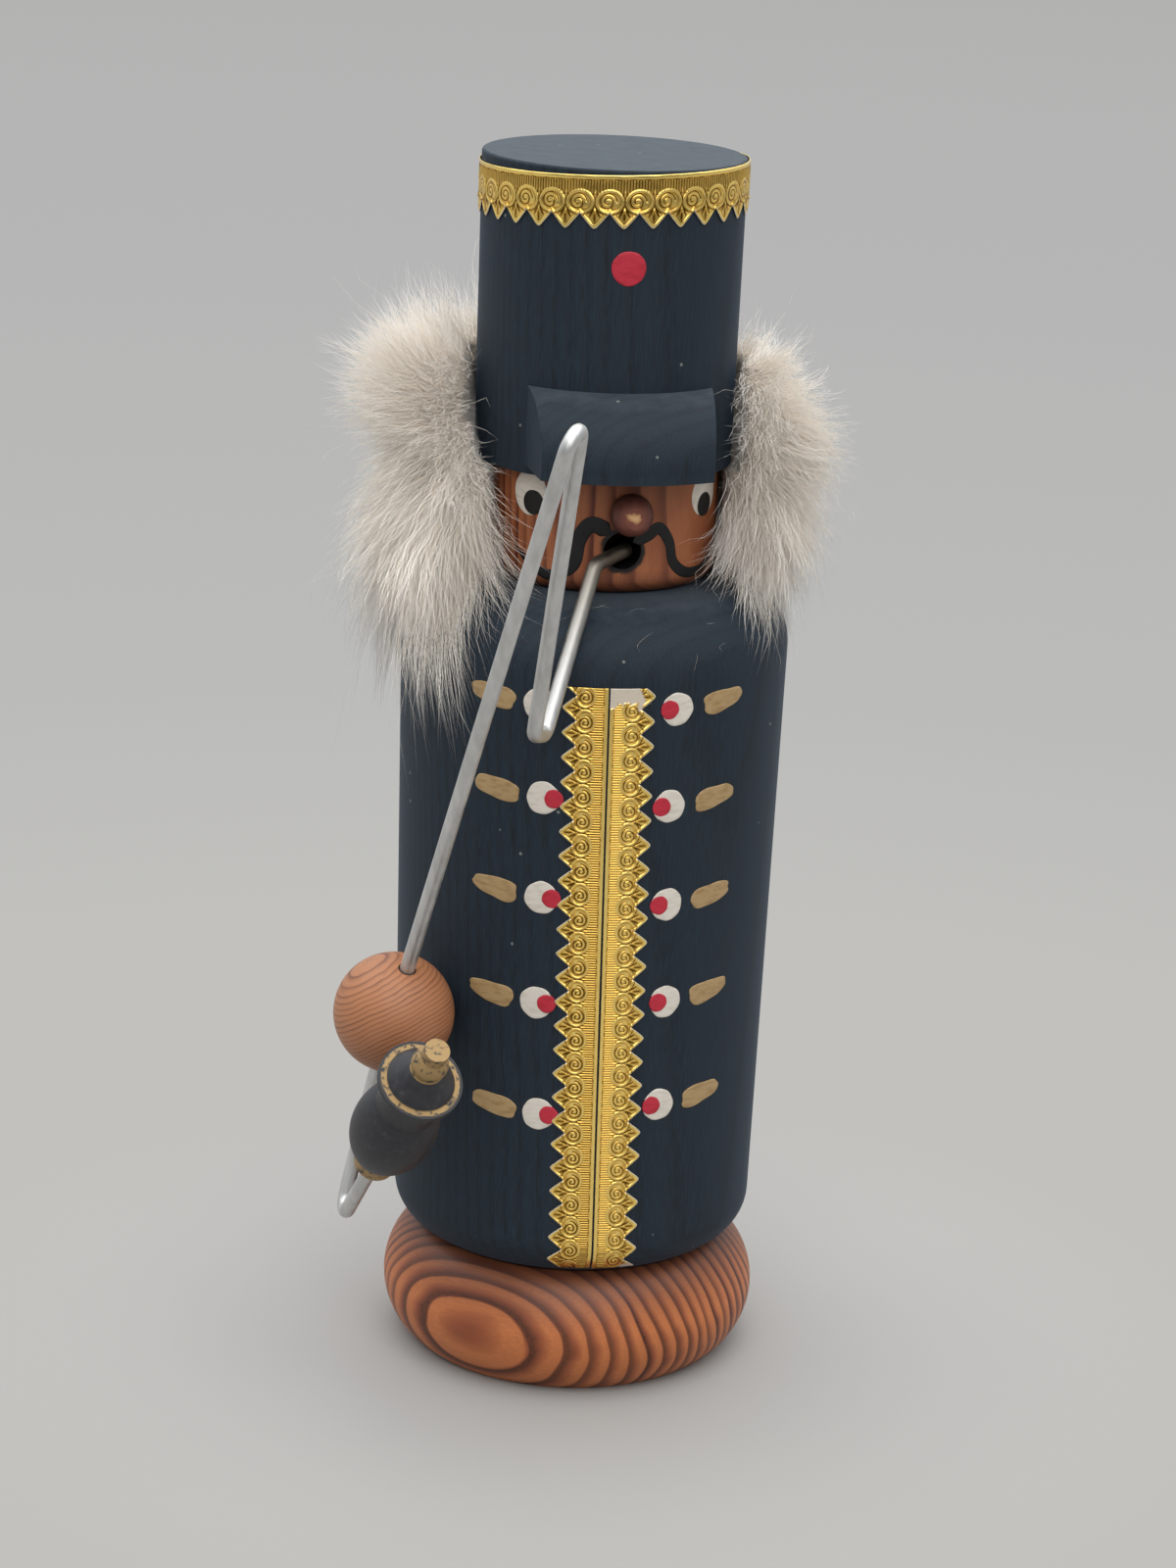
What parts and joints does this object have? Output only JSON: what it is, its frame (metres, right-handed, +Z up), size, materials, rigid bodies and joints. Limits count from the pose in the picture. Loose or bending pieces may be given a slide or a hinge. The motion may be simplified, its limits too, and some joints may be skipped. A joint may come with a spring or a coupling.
{
  "type": "incense smoker figure",
  "caption": "Turned wooden soldier that smokes incense: hollow coat lifts off a round base, with fur hair, foil trim and a swinging wire pipe with a bead and bowl.",
  "frame": {"origin": "centre of the base's flat underside", "axes": "+Z up along the turned axis, the figure faces -Y, and its pipe hangs on the -X side"},
  "size_m": [0.08, 0.1072, 0.2],
  "materials": {
    "base_wood": "oiled larch, satin",
    "coat_stain": "blue-black water stain, matte",
    "face_wood": "oiled larch, satin",
    "nose_wood": "red-brown stain, satin",
    "gold_foil": "embossed metallised foil paper, glossy",
    "white_fur": "long soft rabbit fur",
    "wire": "drawn wire, satin, scratched",
    "bead_wood": "turned pine, satin",
    "bowl_paint": "matte black paint with gold lines",
    "tinplate": "pressed tinplate",
    "nail_brass": "brass nail"
  },
  "bodies": {
    "base": {"base_foot": "base_wood", "incense_plate": "tinplate", "plate_nail": "nail_brass"},
    "figure": {"coat_body": "coat_stain", "head": "face_wood", "nose": "nose_wood", "hat": "coat_stain", "visor": "coat_stain", "hat_band": "gold_foil", "coat_trim_left": "gold_foil", "coat_trim_right": "gold_foil", "fur_hair": "white_fur"},
    "pipe": {"pipe_stem": "wire", "pipe_bowl": "bowl_paint"},
    "bead": {"stem_bead": "bead_wood"}
  },
  "joints": [
    {"name": "figure_lift", "type": "slide", "parent": "base", "child": "figure", "axis": [0, 0, 1], "range_m": [0, 0.1]},
    {"name": "pipe_swing", "type": "hinge", "parent": "figure", "child": "pipe", "pos_m": [0.00144, -0.01875, 0.1402], "axis": [-0.0767, 0.9971, 0], "range_deg": [0, 60]},
    {"name": "bead_slide", "type": "slide", "parent": "pipe", "child": "bead", "axis": [0.1659, -0.3993, 0.9017], "range_m": [0, 0.048]}
  ]
}
